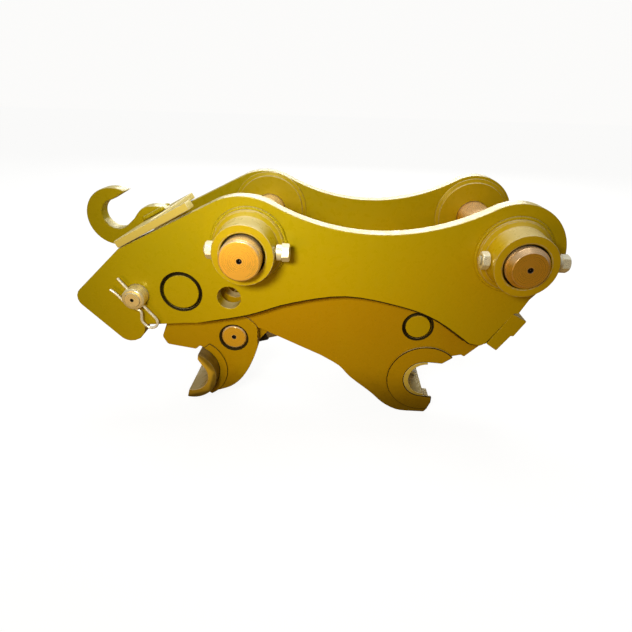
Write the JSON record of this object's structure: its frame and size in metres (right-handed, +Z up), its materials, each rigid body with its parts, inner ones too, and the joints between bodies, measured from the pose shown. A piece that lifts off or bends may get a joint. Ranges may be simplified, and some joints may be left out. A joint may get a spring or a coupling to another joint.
{
  "type": "quick coupler",
  "caption": "Excavator quick coupler: side plates with stick and link pins, a fixed jaw facing forward and a hydraulic hook that swings back to lock the bucket pins.",
  "frame": {"origin": "on the ground, below the middle of the bounding box; the part stands on the fixed jaw's feet", "axes": "+X forward, the way the fixed jaw opens and from the stick pin to the link pin; +Y to the left, along the pins; +Z up"},
  "size_m": [0.9189, 0.494, 0.46],
  "materials": {
    "paint": "semi-gloss ochre yellow enamel, worn at the edges",
    "dark_paint": "the same enamel, dirty and in shade inside the jaws",
    "pin_steel": "yellow-passivated turned steel, satin",
    "plated": "zinc plated, pale gold, satin",
    "oiled_steel": "dark oiled steel",
    "chrome": "hard chrome, polished"
  },
  "bodies": {
    "frame": {"cover_plate": "paint", "cylinder_anchor_pin": "paint", "deck_plate": "paint", "fixed_jaw_liner": "dark_paint", "fixed_jaw_saddle": "paint", "front_cross_bar": "paint", "jaw_grease_plug": "plated", "jaw_ring_left": "paint", "jaw_ring_right": "paint", "lifting_hook": "paint", "link_bolt_left": "plated", "link_bolt_nut_left": "plated", "link_bolt_nut_right": "plated", "link_bolt_right": "plated", "link_bolt_spacer_left": "plated", "link_bolt_spacer_right": "plated", "link_boss_left": "paint", "link_boss_right": "paint", "link_inner_ring_left": "paint", "link_inner_ring_right": "paint", "link_pin": "pin_steel", "lower_plate_left": "paint", "lower_plate_right": "paint", "pivot_lug_left": "paint", "pivot_lug_right": "paint", "rear_cross_tube": "paint", "stick_bolt_left": "plated", "stick_bolt_nut_left": "plated", "stick_bolt_nut_right": "plated", "stick_bolt_right": "plated", "stick_bolt_spacer_left": "plated", "stick_bolt_spacer_right": "plated", "stick_boss_left": "paint", "stick_boss_right": "paint", "stick_inner_ring_left": "paint", "stick_inner_ring_right": "paint", "stick_pin": "pin_steel", "upper_plate_left": "paint", "upper_plate_right": "paint"},
    "hook": {"hook_plate_right": "paint", "hook_plate_left": "paint", "hook_ring_right": "paint", "hook_ring_left": "paint", "hook_arm_right": "paint", "hook_arm_left": "paint", "hook_saddle": "dark_paint", "pivot_hub": "paint", "pivot_pin": "pin_steel", "rod_pin": "oiled_steel"},
    "barrel": {"cylinder_barrel": "oiled_steel", "cylinder_gland": "oiled_steel", "check_valve": "oiled_steel", "hose_adapter_1": "plated", "hose_adapter_2": "plated"},
    "rod": {"cylinder_rod": "chrome", "cylinder_piston": "oiled_steel", "rod_eye": "oiled_steel"},
    "safety_pin_body": {"safety_pin": "pin_steel"},
    "clip": {"r_clip": "plated"}
  },
  "joints": [
    {"name": "hook_swing", "type": "hinge", "parent": "frame", "child": "hook", "pos_m": [-0.1395, 0, 0.163], "axis": [0, 1, 0], "range_deg": [-30, 0]},
    {"name": "barrel_swing", "type": "hinge", "parent": "frame", "child": "barrel", "pos_m": [0.2295, 0, 0.207], "axis": [0, 1, 0], "range_deg": [-0.31, 0.01]},
    {"name": "rod_stroke", "type": "slide", "parent": "barrel", "child": "rod", "axis": [-0.9611, 0, -0.2761], "range_m": [-0.0325, 0.0005]},
    {"name": "safety_pin_float", "type": "slide", "parent": "frame", "child": "safety_pin_body", "axis": [0, 1, 0], "range_m": [0, 0.008]},
    {"name": "clip_pull", "type": "slide", "parent": "safety_pin_body", "child": "clip", "axis": [0.6018, 0, -0.7986], "range_m": [0, 0.09]}
  ],
  "couplings": [
    {"joint": "barrel_swing", "follows": "hook_swing", "ratio": 0.01},
    {"joint": "rod_stroke", "follows": "hook_swing", "m_per_rad": 0.0613}
  ]
}
